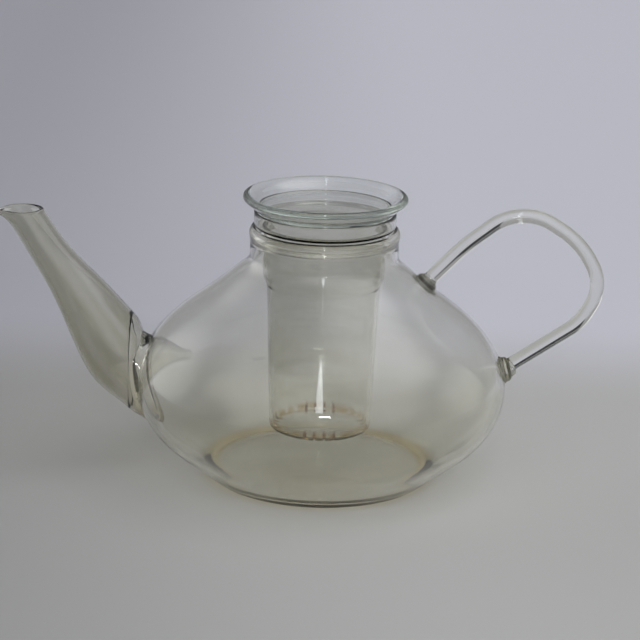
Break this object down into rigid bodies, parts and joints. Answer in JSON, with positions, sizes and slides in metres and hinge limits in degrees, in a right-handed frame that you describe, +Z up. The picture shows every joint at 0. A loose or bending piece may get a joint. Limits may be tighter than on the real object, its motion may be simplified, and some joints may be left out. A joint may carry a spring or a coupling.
{
  "type": "glass teapot",
  "caption": "Low round clear glass teapot with a slender spout, a bent glass rod handle, a slotted glass infuser hung in the neck and a dish-shaped glass lid.",
  "frame": {"origin": "on the pot's axis, at the flat base it stands on", "axes": "+Z up along the pot's axis; -X towards the spout; +X towards the handle; Y across the pot"},
  "size_m": [0.2668, 0.1626, 0.1265],
  "materials": {
    "pot_glass": "clear blown glass, faint olive tint",
    "spout_glass": "clear drawn glass, slightly streaked",
    "weld_glass": "thick fused glass, amber olive edge",
    "rod_glass": "clear solid glass rod",
    "infuser_glass": "clear glass, tea stain in the slits",
    "lid_glass": "thick pressed glass, green edge"
  },
  "bodies": {
    "pot": {"bowl": "pot_glass", "spout": "spout_glass", "spout_weld_ring": "weld_glass", "handle_rod": "rod_glass", "handle_upper_pad": "weld_glass", "handle_lower_pad": "weld_glass"},
    "infuser": {"infuser": "infuser_glass"},
    "lid": {"lid": "lid_glass"}
  },
  "joints": [
    {"name": "infuser_lift", "type": "slide", "parent": "pot", "child": "infuser", "axis": [0, 0, 1], "range_m": [0, 0.12]},
    {"name": "lid_lift", "type": "slide", "parent": "infuser", "child": "lid", "axis": [0, 0, 1], "range_m": [0, 0.06]}
  ]
}
